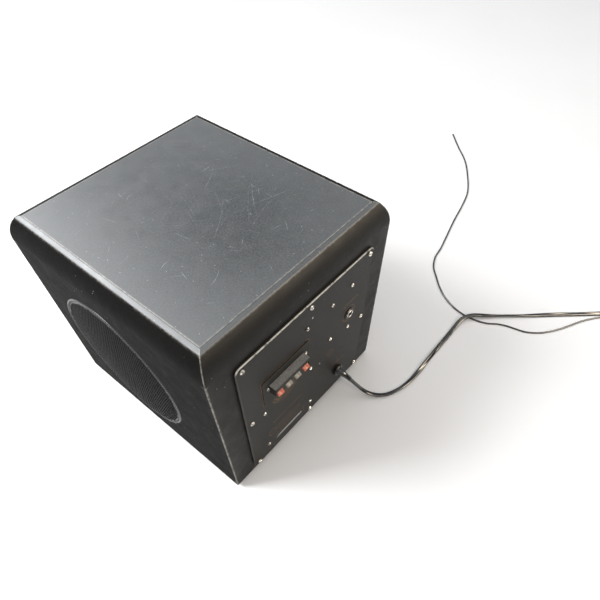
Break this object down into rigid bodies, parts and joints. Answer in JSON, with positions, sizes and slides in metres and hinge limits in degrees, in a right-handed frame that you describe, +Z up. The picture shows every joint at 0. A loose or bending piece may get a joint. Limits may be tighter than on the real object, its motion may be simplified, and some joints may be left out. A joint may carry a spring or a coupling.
{
  "type": "subwoofer",
  "caption": "Powered box subwoofer with a side-firing driver behind a round grille, a rear amplifier plate with spring terminals, and a fixed mains cord.",
  "frame": {"origin": "on the surface it stands on, under the middle of the box of the subwoofer without its cords", "axes": "+Z up, +Y out of the rear amplifier plate, +X out of the driver side with the round grille"},
  "size_m": [0.9064, 0.7221, 0.2674],
  "materials": {
    "cabinet_vinyl": "black vinyl wrap over fibreboard, fine grain, satin",
    "plate_black": "brown-black textured paint on sheet steel",
    "gasket_foam": "closed-cell foam",
    "screw_black": "black-passivated steel, bright wear",
    "terminal_black": "moulded black plastic, finely sparked",
    "lever_coral": "coral-red moulded plastic",
    "lever_grey": "warm grey moulded plastic",
    "jack_black": "black plastic with a bright metal barrel",
    "gland_black": "black nylon",
    "cord_black": "glossy black flexible vinyl",
    "plug_black": "moulded black vinyl with brass blades",
    "foot_rubber": "black rubber",
    "grille_black": "black satin powder coat on perforated steel",
    "port_plastic": "moulded black plastic",
    "basket_steel": "black pressed steel",
    "magnet_ferrite": "dark grey ferrite",
    "yoke_steel": "zinc-plated steel",
    "cone_paper": "black pulp paper",
    "surround_rubber": "soft black foam rubber",
    "spider_cloth": "varnished woven cloth",
    "coil_copper": "copper wire on a paper former",
    "board_green": "glass-epoxy circuit board",
    "sink_aluminium": "extruded aluminium",
    "core_steel": "varnished steel laminations",
    "lead_red": "insulated copper wire"
  },
  "bodies": {
    "cabinet": {"driver_side_panel": "cabinet_vinyl", "plain_side_panel": "cabinet_vinyl", "front_panel": "cabinet_vinyl", "rear_panel": "cabinet_vinyl", "top_panel": "cabinet_vinyl", "base_panel": "cabinet_vinyl", "rear_plate": "plate_black", "plate_gasket": "gasket_foam", "plate_screw_1": "screw_black", "plate_screw_2": "screw_black", "plate_screw_3": "screw_black", "plate_screw_4": "screw_black", "plate_screw_5": "screw_black", "plate_screw_6": "screw_black", "plate_screw_7": "screw_black", "plate_screw_8": "screw_black", "module_screw_1": "screw_black", "module_screw_2": "screw_black", "module_screw_3": "screw_black", "module_screw_4": "screw_black", "module_screw_5": "screw_black", "module_screw_6": "screw_black", "module_screw_7": "screw_black", "module_screw_8": "screw_black", "module_screw_9": "screw_black", "terminal_body": "terminal_black", "terminal_screw_1": "screw_black", "terminal_screw_2": "screw_black", "input_jack": "jack_black", "cord_gland": "gland_black", "transformer_bracket": "yoke_steel", "transformer_core": "core_steel", "transformer_winding": "coil_copper", "heat_sink": "sink_aluminium", "amplifier_board": "board_green", "jack_board": "board_green", "driver_basket": "basket_steel", "driver_magnet": "magnet_ferrite", "magnet_yoke": "yoke_steel", "driver_surround": "surround_rubber", "driver_spider": "spider_cloth", "grille": "grille_black", "bass_port": "port_plastic", "driver_lead": "lead_red", "cord_relief": "cord_black", "mains_cord": "cord_black", "thin_lead": "cord_black", "cord_coil": "cord_black", "mains_plug": "plug_black", "foot_1": "foot_rubber", "foot_2": "foot_rubber", "foot_3": "foot_rubber", "foot_4": "foot_rubber"},
    "moving_cone": {"voice_coil": "coil_copper", "driver_cone": "cone_paper", "dust_cap": "cone_paper"},
    "lever_1": {"terminal_lever_1": "lever_coral"},
    "lever_2": {"terminal_lever_2": "lever_grey"},
    "lever_3": {"terminal_lever_3": "lever_grey"},
    "lever_4": {"terminal_lever_4": "lever_coral"}
  },
  "joints": [
    {"name": "cone_travel", "type": "slide", "parent": "cabinet", "child": "moving_cone", "axis": [1, 0, 0], "range_m": [-0.004, 0.004], "stiffness_N_per_m": 1200, "deforming": ["driver_surround", "driver_spider"]},
    {"name": "lever_1_press", "type": "hinge", "parent": "cabinet", "child": "lever_1", "pos_m": [0.06005, 0.13875, 0.1555], "axis": [-1, 0, 0], "range_deg": [0, 14], "stiffness_Nm_per_rad": 0.2},
    {"name": "lever_2_press", "type": "hinge", "parent": "cabinet", "child": "lever_2", "pos_m": [0.04585, 0.13875, 0.1555], "axis": [-1, 0, 0], "range_deg": [0, 14], "stiffness_Nm_per_rad": 0.2},
    {"name": "lever_3_press", "type": "hinge", "parent": "cabinet", "child": "lever_3", "pos_m": [0.03165, 0.13875, 0.1555], "axis": [-1, 0, 0], "range_deg": [0, 14], "stiffness_Nm_per_rad": 0.2},
    {"name": "lever_4_press", "type": "hinge", "parent": "cabinet", "child": "lever_4", "pos_m": [0.01745, 0.13875, 0.1555], "axis": [-1, 0, 0], "range_deg": [0, 14], "stiffness_Nm_per_rad": 0.2}
  ]
}
